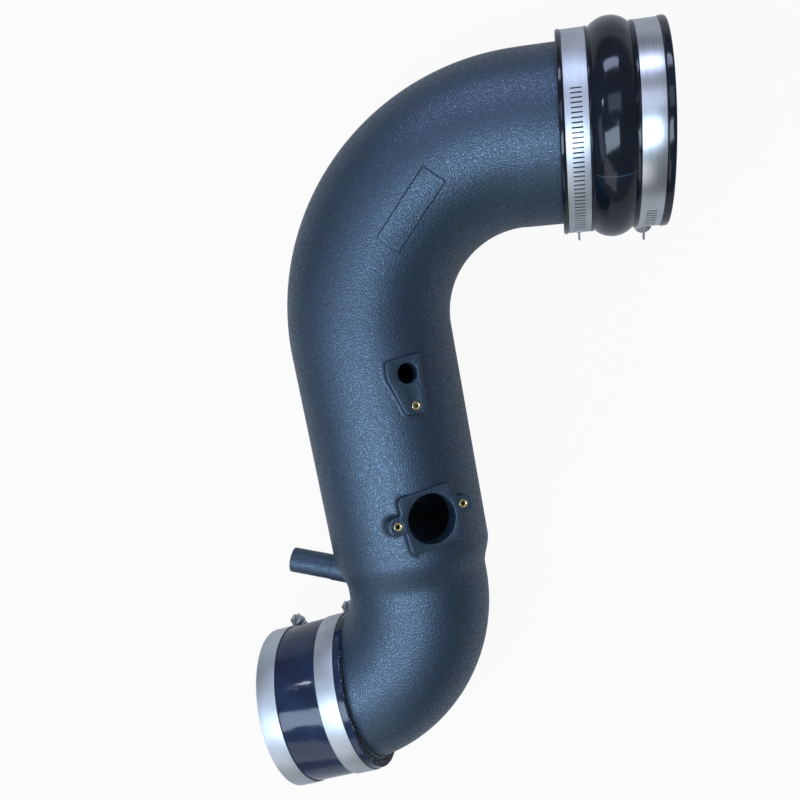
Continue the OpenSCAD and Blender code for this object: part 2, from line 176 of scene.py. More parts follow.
# ---- camera and light ----
view = dict(place=(0.075321, 0.057463, 0.557779), right=(0.96181, -0.18686, -0.20001), down=(-0.16857, -0.98008, 0.10502),
            lens=36.51)
camera = bpy.data.objects.new("camera", bpy.data.cameras.new("camera"))
bpy.context.scene.collection.objects.link(camera)
right, up = Vector(view["right"]).normalized(), -Vector(view["down"])
back = right.cross(up).normalized()
up = back.cross(right)
camera.matrix_world = Matrix.Translation(view["place"]) @ Matrix((right, up, back)).transposed().to_4x4()
camera.data.lens, camera.data.sensor_width = view["lens"], 36.0
camera.data.clip_start = 0.01
bpy.context.scene.camera = camera
bpy.context.scene.view_settings.view_transform = "Standard"

lamps = {
    "overheadPanel": dict(place=(-0.32, -0.28, 1.25), aim=(-0.32, -0.28, 0.0), size=(1.40, 0.52), radiance=7.6, colour="#d2e8ff"),
    "middlePanel": dict(place=(0.15, 0.48, 1.30), aim=(0.1, 0.1, 0.08), size=(1.1, 0.45), radiance=1.5, colour="#d8e2ff"),
    "farPanel": dict(place=(0.15, 1.35, 0.87), aim=(0.0, 0.0, 0.08), size=(1.2, 0.28), radiance=8.0, colour="#cedaff"),
    "leftPanel": dict(place=(-1.25, -0.10, 0.85), aim=(0.0, 0.0, 0.08), size=(1.0, 0.5), radiance=1.3, colour="#d2e5ff"),
    "frontPanel": dict(place=(-0.85, -1.50, 1.00), aim=(0.0, 0.0, 0.08), size=(1.8, 1.0), radiance=1.15, colour="#f0f2f4"),
    "smallLamp": dict(place=(-0.67, 0.58, 0.88), aim=(0.0, 0.0, 0.08), size=(0.06, 0.06), radiance=40.0, colour="#dfe9ff"),
}
for name, lamp in lamps.items():
    data = bpy.data.lights.new(name, "AREA")
    data.shape, data.size, data.size_y = "RECTANGLE", lamp["size"][0], lamp["size"][1]
    data.energy = lamp["radiance"] * math.pi * lamp["size"][0] * lamp["size"][1]
    data.color = linear(lamp["colour"])[:3]
    light = bpy.data.objects.new(name, data)
    bpy.context.scene.collection.objects.link(light)
    light.location = lamp["place"]
    light.rotation_euler = (light.location - Vector(lamp["aim"])).to_track_quat("Z", "Y").to_euler()



def backdropShare(tree, camera, mirror):
    # How much of plain white a ray sees: the camera's share, and the share in metal and gloss
    ray = addNode(tree, "ShaderNodeLightPath")
    other = addNode(tree, "ShaderNodeMath", {"operation": "MAXIMUM"}, i0=ray.outputs["Is Glossy Ray"],
                    i1=ray.outputs["Is Transmission Ray"])
    seen = addNode(tree, "ShaderNodeMath", {"operation": "MULTIPLY"}, i0=ray.outputs["Is Camera Ray"], i1=camera)
    return addNode(tree, "ShaderNodeMath", {"operation": "MULTIPLY_ADD"}, i0=other.outputs[0], i1=mirror,
                   i2=seen.outputs[0]).outputs[0]


world = bpy.data.worlds.new("studio")
world.use_nodes = True
bpy.context.scene.world = world
tree = world.node_tree
tree.nodes.clear()
sky = addNode(tree, "ShaderNodeBackground", Color=linear("#e4ecf8"), Strength=0.12)
white = addNode(tree, "ShaderNodeBackground", Color=(1, 1, 1, 1), Strength=1.0)
both = addNode(tree, "ShaderNodeMixShader", i0=backdropShare(tree, 1.0, 0.1), i1=sky.outputs[0], i2=white.outputs[0])
addNode(tree, "ShaderNodeOutputWorld", Surface=both.outputs[0])

floorBm = bmesh.new()
bmesh.ops.create_grid(floorBm, x_segments=2, y_segments=2, size=3.0)
floorMesh = bpy.data.meshes.new("floor")
floorBm.to_mesh(floorMesh)
floorBm.free()
floor = bpy.data.objects.new("floor", floorMesh)
floor.location = (0, 0, -0.0005)
bpy.context.scene.collection.objects.link(floor)
paper = bpy.data.materials.new("whitePaper")
paper.use_nodes = True
tree = paper.node_tree
tree.nodes.clear()
matte = addNode(tree, "ShaderNodeBsdfDiffuse", Color=linear("#b4b2ae"))
glow = addNode(tree, "ShaderNodeEmission", Color=(1, 1, 1, 1), Strength=1.0)
both = addNode(tree, "ShaderNodeMixShader", i0=backdropShare(tree, 0.93, 0.24), i1=matte.outputs[0], i2=glow.outputs[0])
addNode(tree, "ShaderNodeOutputMaterial", Surface=both.outputs[0])
floorMesh.materials.append(paper)
print("camera, lamps and floor are set")


# ---- finishes ----
def mouldedNylon():
    # Glass-filled nylon from a spark-eroded tool: dark slate blue, satin, with a fine pebble grain of about 1 mm
    # that sparkles where the light falls and vanishes in the shade
    material, tree, shader = newMaterial("mouldedNylonGrain")
    place = addNode(tree, "ShaderNodeTexCoord").outputs["Object"]
    pebble = addNode(tree, "ShaderNodeTexNoise", Vector=place, Scale=1200.0, Detail=1.0, Roughness=0.5)
    cells = addNode(tree, "ShaderNodeTexVoronoi", {"feature": "SMOOTH_F1"}, Vector=place, Scale=1050.0, Smoothness=0.4)
    waves = addNode(tree, "ShaderNodeTexNoise", Vector=place, Scale=14.0, Detail=3.0, Roughness=0.6)
    grain = addNode(tree, "ShaderNodeMath", {"operation": "SUBTRACT"}, i0=pebble.outputs["Fac"], i1=cells.outputs["Distance"])
    tone = addNode(tree, "ShaderNodeMath", {"operation": "MULTIPLY_ADD"}, i0=waves.outputs["Fac"], i1=0.3, i2=grain.outputs[0])
    tree.links.new(ramp(tree, tone.outputs[0], [(0.18, "#09131b"), (0.48, "#21394d")]), shader.inputs["Base Color"])
    tree.links.new(ramp(tree, grain.outputs[0], [(0.02, 0.52), (0.28, 0.2)]), shader.inputs["Roughness"])
    bump = addNode(tree, "ShaderNodeBump", Strength=1.0, Distance=0.00015, Height=grain.outputs[0])
    tree.links.new(bump.outputs[0], shader.inputs["Normal"])
    shader.inputs["IOR"].default_value = 1.6
    shader.inputs["Specular IOR Level"].default_value = 1.0
    shader.inputs["Specular Tint"].default_value = linear("#c6e2ff")
    return material


def siliconeRubber(name, dark, light):
    # Silicone pressed over fabric plies: smooth and glossy, with long soft ripples from the wrapping
    material, tree, shader = newMaterial(name)
    place = addNode(tree, "ShaderNodeTexCoord").outputs["Object"]
    ripple = addNode(tree, "ShaderNodeTexNoise", Vector=place, Scale=60.0, Detail=2.0, Roughness=0.5)
    fine = addNode(tree, "ShaderNodeTexNoise", Vector=place, Scale=900.0, Detail=1.0)
    tree.links.new(ramp(tree, ripple.outputs["Fac"], [(0.3, dark), (0.7, light)]), shader.inputs["Base Color"])
    tree.links.new(ramp(tree, fine.outputs["Fac"], [(0.3, 0.1), (0.8, 0.17)]), shader.inputs["Roughness"])
    bump = addNode(tree, "ShaderNodeBump", Strength=0.35, Distance=0.0014, Height=ripple.outputs["Fac"])
    tree.links.new(bump.outputs[0], shader.inputs["Normal"])
    shader.inputs["IOR"].default_value = 1.45
    return material


def cutPlies():
    # Cut end of the hose: matt rubber with the pale ends of the fabric's yarns, which stand about 1 mm apart
    material, tree, shader = newMaterial("cutFabricPlies")
    place = addNode(tree, "ShaderNodeTexCoord").outputs["Object"]
    yarns = addNode(tree, "ShaderNodeTexVoronoi", {"feature": "F1"}, Vector=place, Scale=700.0)
    tree.links.new(ramp(tree, yarns.outputs["Distance"], [(0.12, "#b9c2cc"), (0.34, "#18202c")]), shader.inputs["Base Color"])
    bump = addNode(tree, "ShaderNodeBump", Strength=1.0, Distance=0.0003, Height=yarns.outputs["Distance"])
    tree.links.new(bump.outputs[0], shader.inputs["Normal"])
    shader.inputs["Roughness"].default_value = 0.7
    return material


def stainlessStrip(name, axisTurn, roughLow, roughHigh, streak):
    # Cold-rolled stainless strip: fine rolling lines that run round the hose
    material, tree, shader = newMaterial(name)
    place = addNode(tree, "ShaderNodeTexCoord").outputs["Object"]
    along = addNode(tree, "ShaderNodeMapping", {"vector_type": "POINT"}, Vector=place, Rotation=(0, 0, math.radians(axisTurn)))
    lines = addNode(tree, "ShaderNodeMapping", {"vector_type": "POINT"}, Vector=along.outputs[0], Scale=(4200.0, 14.0, 14.0))
    rolled = addNode(tree, "ShaderNodeTexNoise", Vector=lines.outputs[0], Scale=1.0, Detail=3.0, Roughness=0.6)
    smear = addNode(tree, "ShaderNodeTexNoise", Vector=place, Scale=60.0, Detail=2.0)
    tree.links.new(ramp(tree, smear.outputs["Fac"], [(0.3, "#b6babf"), (0.7, "#c8ccd0")]), shader.inputs["Base Color"])
    tree.links.new(ramp(tree, rolled.outputs["Fac"], [(0.3, roughLow), (0.7, roughHigh)]), shader.inputs["Roughness"])
    bump = addNode(tree, "ShaderNodeBump", Strength=streak, Distance=0.00005, Height=rolled.outputs["Fac"])
    tree.links.new(bump.outputs[0], shader.inputs["Normal"])
    shader.inputs["Metallic"].default_value = 1.0
    return material


def zincPlate():
    # Bright zinc plate on pressed steel: grey, slightly cloudy, dull in the corners
    material, tree, shader = newMaterial("zincPlate")
    place = addNode(tree, "ShaderNodeTexCoord").outputs["Object"]
    cloud = addNode(tree, "ShaderNodeTexNoise", Vector=place, Scale=240.0, Detail=4.0)
    tree.links.new(ramp(tree, cloud.outputs["Fac"], [(0.3, "#a3a6a9"), (0.7, "#cdd0d2")]), shader.inputs["Base Color"])
    tree.links.new(ramp(tree, cloud.outputs["Fac"], [(0.3, 0.38), (0.7, 0.25)]), shader.inputs["Roughness"])
    shader.inputs["Metallic"].default_value = 1.0
    return material


def turnedBrass():
    # Turned brass inserts: pale gold with fine tool rings and a dark thread inside
    material, tree, shader = newMaterial("turnedBrass")
    place = addNode(tree, "ShaderNodeTexCoord").outputs["Object"]
    cloud = addNode(tree, "ShaderNodeTexNoise", Vector=place, Scale=900.0, Detail=2.0)
    tree.links.new(ramp(tree, cloud.outputs["Fac"], [(0.3, "#c9b56c"), (0.7, "#ece2b4")]), shader.inputs["Base Color"])
    tree.links.new(ramp(tree, cloud.outputs["Fac"], [(0.3, 0.34), (0.7, 0.22)]), shader.inputs["Roughness"])
    shader.inputs["Metallic"].default_value = 1.0
    return material


nylon, plies = mouldedNylon(), cutPlies()
# Pale copy of the hose's silicone for the parting line: a painted highlight along the ridge, not a colour of its own
partingGlintSilicone = siliconeRubber("paintedHighlightSilicone", "#324450", "#3e525f")
blackSilicone, navySilicone = siliconeRubber("blackSilicone", "#0a1018", "#131c28"), siliconeRubber("navySilicone", "#182236", "#232f49")
upperSteel = stainlessStrip("satinStripUpper", -(90 - pipe["bendAngle"]), 0.4, 0.52, 0.25)
brightSteel = stainlessStrip("brightStrip", -(90 - pipe["bendAngle"]), 0.26, 0.34, 0.12)
lowerSteel = stainlessStrip("satinStripLower", -(90 - pipe["elbowAngle"]), 0.42, 0.54, 0.3)
zinc, brass = zincPlate(), turnedBrass()
print("finishes are made")


# ---- duct: inlet, main bend, leg, shoulder and elbow in one skin ----
duct = dict(ringSteps=160, inletRadius=50.8, bendRadius=50.7, legEndRadius=49.5, elbowRadius=44.45, wall=4.0,
            inletInHose=16.5, inletStraight=25.0, shoulderFrom=132.5, shoulderTo=152.0, mouth=15.5)
elbowEnd = Vector((-60.86, -225.0, 0.0))


def legRadius(along):
    taper = min(along / 135.6, 1.0)
    radius = duct["bendRadius"] + (duct["legEndRadius"] - duct["bendRadius"]) * taper
    t = min(max((along - duct["shoulderFrom"]) / (duct["shoulderTo"] - duct["shoulderFrom"]), 0.0), 1.0)
    t = t * t * (3 - 2 * t)
    return radius + (duct["elbowRadius"] - radius) * t


def ductSkin():
    bm = bmesh.new()
    bmesh.ops.create_circle(bm, segments=duct["ringSteps"], radius=duct["inletRadius"],
                            matrix=inletFrame @ shift(z=duct["inletInHose"]))
    ring = bm.edges[:]
    axis = (inletFrame.to_3x3() @ Vector((0, 0, 1))).normalized()
    for step in (8.0, 8.5, 8.0, 8.0, 8.0):
        verts, ring = pullEdges(bm, ring)
        bmesh.ops.translate(bm, vec=-axis * step, verts=verts)
    verts, ring = pullEdges(bm, ring)      # the inlet is a hair prouder than the bend
    bmesh.ops.translate(bm, vec=-axis * (duct["inletInHose"] + duct["inletStraight"] - 40.5), verts=verts)
    centre = inletFrame @ Vector((0, 0, -duct["inletStraight"]))
    for v in verts:
        v.co = centre + (v.co - centre) * duct["bendRadius"] / duct["inletRadius"]
    result = bmesh.ops.spin(bm, geom=verts + ring, cent=(pipe["bendRadius"], 0, 0), axis=(0, 0, 1),
                            angle=math.radians(pipe["bendAngle"]), steps=72, use_merge=False)
    ring = [g for g in result["geom_last"] if isinstance(g, bmesh.types.BMEdge)]
    stations = [12.0 * i for i in range(1, 11)] + [126.0 + 1.85 * i for i in range(16)] + [pipe["legLength"]]
    for along in stations:
        verts, ring = pullEdges(bm, ring)
        radius = legRadius(along)
        for v in verts:
            flat = Vector((v.co.x, 0, v.co.z)).normalized() * radius
            v.co = (flat.x, -along, flat.z)
    result = bmesh.ops.spin(bm, geom=verts + ring, cent=(-pipe["elbowRadius"], -pipe["legLength"], 0), axis=(0, 0, -1),
                            angle=math.radians(pipe["elbowAngle"]), steps=54, use_merge=False)
    bmesh.ops.remove_doubles(bm, verts=bm.verts[:], dist=0.001)
    out = (outletFrame.to_3x3() @ Vector((0, 0, 1))).normalized()
    bmesh.ops.bisect_plane(bm, geom=bm.verts[:] + bm.edges[:] + bm.faces[:], dist=0.001,
                           plane_co=elbowEnd + out * duct["mouth"], plane_no=-out, clear_outer=True)
    bmesh.ops.recalc_face_normals(bm, faces=bm.faces[:])
    probe = max(bm.faces, key=lambda f: f.calc_center_median().z)
    if probe.normal.z < 0:
        bmesh.ops.reverse_faces(bm, faces=bm.faces[:])
    return bm


def cylinderPiece(name, radius, low, high, place, steps=96):
    bm = bmesh.new()
    bmesh.ops.create_cone(bm, cap_ends=True, segments=steps, radius1=radius, radius2=radius, depth=high - low,
                          matrix=shift(z=(low + high) / 2))
    return meshPiece(name, bm, place)


nipple = dict(at=142.0, lean=18.0, radius=8.0, rootRadius=8.4, root=5.0, bore=5.5, length=32.7)
nippleFrame = shift(-duct["legEndRadius"], -nipple["at"]) @ turn("Z", -nipple["lean"]) @ turn("Y", -90)
flowPad = dict(at=108.0, spin=5.0, face=51.5, off=-0.5, half=17.5, earHalf=26.4, earUp=2.2, earSize=5.4, bore=14.75, deep=11.0,
               pitch=42.0, edge=0.9, foot=2.2)
tempPad = dict(at=22.7, face=53.5, bore=6.0, boreOff=0.5, insertOff=(2.1, -19.2), edge=0.8, foot=1.8)

skin = ductSkin()
skinTree = BVHTree.FromBMesh(skin)
ductPiece = meshPiece("ductMoulding", skin, Matrix.Identity(4))
wall = ductPiece.modifiers.new("wall", "SOLIDIFY")
wall.thickness, wall.offset, wall.use_rim = duct["wall"] / 1000, -1.0, True
evaluated(ductPiece)
cutBy(ductPiece, cylinderPiece("cut", 16.4, 30, 60, padFrame(flowPad["at"], flowPad["spin"]) @ shift(flowPad["off"])))
cutBy(ductPiece, cylinderPiece("cut", 7.2, 30, 60, padFrame(tempPad["at"]) @ shift(tempPad["boreOff"])))
cutBy(ductPiece, cylinderPiece("cut", 6.2, -14, 8, nippleFrame))
finishPiece(ductPiece, nylon, ["main_bend", "leg", "elbow"])
print("duct:", len(ductPiece.data.vertices), "vertices")


# ---- pads: each stands on the skin, with a rounded top edge and a soft foot ----
def orderedLoop(verts):
    """The vertices of one closed outline, in order and anticlockwise."""
    start = verts[0]
    loop, previous = [start], None
    pool = set(verts)
    while True:
        here = loop[-1]
        following = [e.other_vert(here) for e in here.link_edges if e.other_vert(here) in pool and e.other_vert(here) != previous]
        following = [v for v in following if v not in loop[1:]]
        if not following or following[0] == start:
            break
        previous = here
        loop.append(following[0])
    area = sum(a.co.x * b.co.y - b.co.x * a.co.y for a, b in zip(loop, loop[1:] + loop[:1]))
    return loop if area > 0 else loop[::-1]


def mitres(loop):
    """How far each vertex moves, as (x, y), for the outline to grow by one millimetre."""
    moves = []
    for i, v in enumerate(loop):
        a, b = loop[i - 1].co, loop[(i + 1) % len(loop)].co
        first = Vector((v.co.y - a.y, a.x - v.co.x)).normalized()
        second = Vector((b.y - v.co.y, v.co.x - b.x)).normalized()
        middle = (first + second)
        moves.append(middle / max(middle.length_squared / 2, 0.4))
    return moves


def skinHeight(place, x, y):
    start = place @ Vector((x, y, 90))
    down = (place.to_3x3() @ Vector((0, 0, -1))).normalized()
    hit = skinTree.ray_cast(start, down)
    return 90 - hit[3] if hit[0] else 40.0


def padPiece(name, corners, face, holes, edge, foot, place, cornerSteps=6):
    bm = bmesh.new()
    outlineFace(bm, corners, lambda p: (p[0], p[1], face), cornerSteps)
    bmesh.ops.delete(bm, geom=bm.faces[:], context="FACES_ONLY")
    bmesh.ops.remove_doubles(bm, verts=bm.verts[:], dist=0.01)
    loop = orderedLoop(bm.verts[:])
    moves = mitres(loop)
    base = [v.co.copy() for v in loop]
    for v, m, p in zip(loop, moves, base):    # the flat face ends where the rounded edge starts
        v.co.x, v.co.y = p.x - m.x * edge, p.y - m.y * edge
    rings = [bm.edges[:]]
    for x, y, radius, deep in holes:
        made = bmesh.ops.create_circle(bm, segments=64 if radius > 4 else 32, radius=radius + 0.35, matrix=shift(x, y, face))
        rings.append(list({e for v in made["verts"] for e in v.link_edges}))
    bmesh.ops.triangle_fill(bm, use_beauty=True, use_dissolve=False, edges=bm.edges[:], normal=(0, 0, 1))
    for (x, y, radius, deep), ring in zip(holes, rings[1:]):
        middle = Vector((x, y, 0))
        for out, level in ((0.1, 0.1), (0.0, 0.35), (0.0, deep)):
            verts, ring = pullEdges(bm, ring)
            for v in verts:
                flat = Vector((v.co.x, v.co.y, 0)) - middle
                flat = flat.normalized() * (radius + out)
                v.co = (middle.x + flat.x, middle.y + flat.y, face - level)
    ring = rings[0]
    lower = {v: v for v in loop}

    def pull(out, height):
        nonlocal ring, lower
        verts, ring = pullEdges(bm, ring)
        step = {}
        for v in verts:     # each new vertex hangs on the old one by one edge
            above = [e.other_vert(v) for e in v.link_edges if e.other_vert(v) not in verts]
            step[above[0]] = v
        lower = {key: step[old] for key, old in lower.items()}
        for v, m, p in zip(loop, moves, base):
            x, y = p.x + m.x * out, p.y + m.y * out
            lower[v].co = (x, y, height(x, y))

    for i in range(1, 5):
        a = math.radians(90 * i / 4)
        pull(-edge * (1 - math.sin(a)), lambda x, y: face - edge * (1 - math.cos(a)))
    pull(0.0, lambda x, y: min(skinHeight(place, x, y) + foot, face - edge - 0.05))
    for i in range(1, 6):
        a = math.radians(90 * i / 5)
        out, lift = foot * (1 - math.cos(a)), foot * (1 - math.sin(a))
        pull(out, lambda x, y: min(skinHeight(place, x, y) + lift, face - edge - 0.06))
    pull(foot + 1.2, lambda x, y: skinHeight(place, x, y) - 0.25)
    bmesh.ops.recalc_face_normals(bm, faces=bm.faces[:])
    top = max(bm.faces, key=lambda f: f.calc_center_median().z)
    if top.normal.z < 0:
        bmesh.ops.reverse_faces(bm, faces=bm.faces[:])
    return meshPiece(name, bm, place)


h, e, u, s = flowPad["half"], flowPad["earHalf"], flowPad["earUp"], flowPad["earSize"]
flowCorners = [(-h, -h, 4), (h, -h, 4), (h, u - s, 1.6), (e, u - s, 4.6), (e, u + s, 4.6), (h, u + s, 1.6),
               (h, h, 4), (-h, h, 4), (-h, u + s, 1.6), (-e, u + s, 4.6), (-e, u - s, 4.6), (-h, u - s, 1.6)]
flowCorners = [(x + flowPad["off"], y, r) for x, y, r in flowCorners]
flowHoles = [(flowPad["off"], 0, flowPad["bore"], flowPad["deep"])]
flowHoles += [(side * flowPad["pitch"] / 2 + flowPad["off"], u, 2.6, 2.0) for side in (-1, 1)]
flowPlace = padFrame(flowPad["at"], flowPad["spin"])
flowPiece = padPiece("airFlowSensorPad", flowCorners, flowPad["face"], flowHoles, flowPad["edge"], flowPad["foot"], flowPlace)
finishPiece(flowPiece, nylon, ["flow_pad"], 50)

tempCorners = [(-4.6, -23.8, 2.2), (8.4, -24.5, 2.2), (9.9, 10.4, 2.2), (-11.7, 8.6, 2.2), (-12.1, -1.4, 2.2)]
tempHoles = [(tempPad["boreOff"], 0, tempPad["bore"], 8.0), (*tempPad["insertOff"], 2.6, 2.0)]
tempPlace = padFrame(tempPad["at"])
tempPiece = padPiece("temperatureSensorPad", tempCorners, tempPad["face"], tempHoles, tempPad["edge"], tempPad["foot"], tempPlace)
finishPiece(tempPiece, nylon, ["temp_pad"], 50)

# Collar of the flow sensor's bore inside the duct
collar = lathe([(14.75, 0.0, 0), (14.75, 10.0, 0), (17.35, 10.0, 0), (17.35, 0.0, 0.6)], 96)
collarPiece = meshPiece("sensorCollar", collar, flowPlace @ shift(flowPad["off"], 0, flowPad["face"] - flowPad["deep"]))
finishPiece(collarPiece, nylon)

# Nipple, with a small rounding at its root and its rim
root, bore, end = nipple["root"], nipple["bore"], nipple["length"]
stub = lathe([(bore, -9.0, 0), (bore, end, 0.5), (nipple["radius"], end, 0.7), (nipple["radius"], root, 0.2),
              (nipple["rootRadius"], root, 0.35), (nipple["rootRadius"], -9.0, 0)], 72)
nipplePiece = meshPiece("breatherNipple", stub, nippleFrame)
finishPiece(nipplePiece, nylon, ["nipple"])

# Brass inserts
insert = dict(radius=2.6, bore=1.25, deep=6.0, lead=0.75)
insertPlaces = {
    "temp_insert": tempPlace @ shift(*tempPad["insertOff"], tempPad["face"]),
    "flow_insert_left": flowPlace @ shift(-flowPad["pitch"] / 2 + flowPad["off"], u, flowPad["face"]),
    "flow_insert_right": flowPlace @ shift(flowPad["pitch"] / 2 + flowPad["off"], u, flowPad["face"]),
}
for node, place in insertPlaces.items():
    ring = lathe([(insert["bore"], -insert["deep"], 0), (insert["bore"], -0.05, insert["lead"]), (insert["radius"], -0.05, 0.2),
                  (insert["radius"], -insert["deep"], 0.3)], 48)
    finishPiece(meshPiece("brass_" + node, ring, place), brass, [node])
print("pads, nipple and inserts are on the leg")

# Bare raised plate on the main bend: a grid laid on the skin and lifted by its height
plate = dict(length=46.4, width=15.2, height=1.0)
plateFrame = (shift(pipe["bendRadius"]) @ turn("Z", -51.4) @ shift(-pipe["bendRadius"]) @ turn("Y", 17.9) @ turn("Z", 5.8))
bm = bmesh.new()
bmesh.ops.create_grid(bm, x_segments=16, y_segments=46, size=0.5)
bmesh.ops.scale(bm, vec=(plate["width"] - 1.2, plate["length"] - 1.2, 1), verts=bm.verts[:])
rim = [e for e in bm.edges if e.is_boundary]
grid = bm.verts[:]


def lift(verts, height):
    for v in verts:
        v.co.z = skinHeight(plateFrame, v.co.x, v.co.y) + height


def grow(verts, out):
    for v in verts:
        for i, half in ((0, plate["width"] / 2), (1, plate["length"] / 2)):
            if abs(v.co[i]) > half - 0.62:
                v.co[i] = math.copysign(half - 0.6 + out, v.co[i])


rings = [(0.3, 0.95), (0.48, 0.82), (0.6, 0.55), (0.66, 0.2), (0.75, 0.03), (1.1, -0.12)]
lift(grid, plate["height"])
for out, height in rings:
    verts, rim = pullEdges(bm, rim)
    grow(verts, out)
    lift(verts, height)
bmesh.ops.recalc_face_normals(bm, faces=bm.faces[:])
if max(bm.faces, key=lambda f: f.calc_area()).normal.z < 0:
    bmesh.ops.reverse_faces(bm, faces=bm.faces[:])
finishPiece(meshPiece("bareRaisedPlate", bm, plateFrame), nylon, smoothAngle=60)


# ---- hoses ----
hump = dict(bore=50.85, seat=55.75, lip=1.2, endIn=3.0, endOut=4.4, band=12.7, pitch=38.5, rise=4.8, section=15.0)
humpMid = (hump["pitch"] + hump["band"]) / 2
humpTop = hump["seat"] + hump["rise"]


def humpProfile():
    seat, lip, far = hump["seat"], hump["seat"] + hump["lip"], hump["pitch"] + hump["band"] + hump["endOut"]
    points = [(hump["bore"], -hump["endIn"], 0.6), (lip, -hump["endIn"], 1.1), (lip, -0.3, 0.8), (seat, 0.1, 0.3),
              (seat, hump["band"] - 0.1, 0.3), (lip, hump["band"] + 0.3, 0.6)]
    centre = humpTop - hump["section"]
    reach = math.degrees(math.acos((seat + 0.3 - centre) / hump["section"]))
    for i in range(17):
        a = math.radians(reach * (1 - i / 8))
        points.append((centre + hump["section"] * math.cos(a), humpMid - hump["section"] * math.sin(a), 0))
    points += [(lip, hump["pitch"] - 0.3, 0.6), (seat, hump["pitch"] + 0.1, 0.3), (seat, hump["pitch"] + hump["band"] - 0.1, 0.3),
               (lip, hump["pitch"] + hump["band"] + 0.3, 0.8), (lip, far, 1.1), (hump["bore"], far, 0.6)]
    inner = hump["section"] - 4.7
    reach = math.degrees(math.acos((hump["bore"] - centre) / inner))
    for i in range(13):
        a = math.radians(reach * (1 - i / 6))
        points.append((centre + inner * math.cos(a), humpMid + inner * math.sin(a), 0))
    return points


humpPiece = meshPiece("humpHose", lathe(humpProfile(), 224), inletFrame)
finishPiece(humpPiece, blackSilicone, ["hump_hose"])

# Parting line left by the mould: a fine raised line over the hump, along the hose. Its pale colour is a painted
# highlight: the line is the hose's own black silicone, lightened where the ridge catches the light
line = bmesh.new()
points = [(r + 0.06, 0.0, z) for r, z, corner in humpProfile()[6:23]]
verts = [line.verts.new(p) for p in points]
edges = [line.edges.new(pair) for pair in zip(verts, verts[1:])]
bmesh.ops.rotate(line, cent=(0, 0, 0), matrix=turn("Z", 124.6).to_3x3(), verts=line.verts[:])
bmesh.ops.spin(line, geom=line.verts[:] + line.edges[:], cent=(0, 0, 0), axis=(0, 0, 1), angle=math.radians(0.5), steps=2,
               use_merge=False)
bmesh.ops.recalc_face_normals(line, faces=line.faces[:])
bmesh.ops.solidify(line, geom=line.faces[:], thickness=0.25)
linePiece = meshPiece("partingLine", line, inletFrame)
finishPiece(linePiece, partingGlintSilicone)

lower = dict(bore=43.95, stretched=44.5, outer=49.4, length=57.0, stepFrom=26.0, stepTo=29.0)
throttle = lathe([(lower["bore"], 0, 0.5), (lower["outer"], 0, 0.7), (lower["outer"], lower["length"], 0.7),
                  (lower["stretched"], lower["length"], 0.3), (lower["stretched"], lower["stepTo"], 0),
                  (lower["bore"], lower["stepFrom"], 0)], 224)
throttlePiece = meshPiece("throttleHose", throttle, outletFrame)
finishPiece(throttlePiece, navySilicone, ["throttle_hose"])

# Its cut end shows the fabric
cutEnd = lathe([(44.7, 56.9, 0), (49.1, 56.9, 0), (49.1, 57.2, 0.12), (44.7, 57.2, 0.12)], 224)
cutPiece = meshPiece("throttleHoseCutEnd", cutEnd, outletFrame)
finishPiece(cutPiece, plies)

# Spigot of the duct inside it, with a lead chamfer, and the lip that stops the hose's bore from stepping in
spigot = lathe([(40.45, 26.0, 0.4), (43.2, 26.0, 0.4), (44.45, 29.0, 0.4), (44.45, 56.9, 0), (38.45, 61.0, 0.3),
                (40.45, 57.2, 0)], 160)
spigotPiece = meshPiece("throttleSpigot", spigot, outletFrame)
finishPiece(spigotPiece, nylon)
print("hoses are turned")


# ---- worm drive clamps ----
clamp = dict(width=12.7, thick=0.7, gap=0.05, slotPitch=2.5, slotWide=0.8, slotLong=5.9, saddleHalf=6.4, saddleThick=0.8,
             housingLong=13.0, housingRadius=5.3, screwRadius=4.0, screwGap=0.3, headAcross=8.0, headLong=4.5, collar=1.2)


def slotCutter(name, places, radius, place):
    bm = bmesh.new()
    for degrees in places:
        bmesh.ops.create_cube(bm, size=1.0, matrix=turn("Z", degrees) @ shift(radius) @ Matrix.Diagonal(
            (3.0, clamp["slotWide"], clamp["slotLong"], 1)))
    return meshPiece(name, bm, place)


def bandRing(radius):
    half, thick = clamp["width"] / 2, clamp["thick"]
    return lathe([(radius, -half, 0.2), (radius + thick, -half, 0.3), (radius + thick, half, 0.3), (radius, half, 0.2)], 240, 3)


def tailStrip(radius, fromAngle, toAngle):
    half = clamp["width"] / 2 - 0.1
    bm = bmesh.new()
    outlineFace(bm, [(radius, -half, 0.2), (radius + clamp["thick"], -half, 0.3), (radius + clamp["thick"], half, 0.3),
                     (radius, half, 0.2)], lambda p: (p[0], 0.0, p[1]), 3)
    bmesh.ops.rotate(bm, cent=(0, 0, 0), matrix=turn("Z", fromAngle).to_3x3(), verts=bm.verts[:])
    faces = bm.faces[:]
    result = bmesh.ops.spin(bm, geom=faces, cent=(0, 0, 0), axis=(0, 0, 1),
                            angle=math.radians(toAngle - fromAngle), steps=max(int(abs(toAngle - fromAngle) / 1.5), 4), use_merge=False)
    bmesh.ops.recalc_face_normals(bm, faces=bm.faces[:])
    return bm


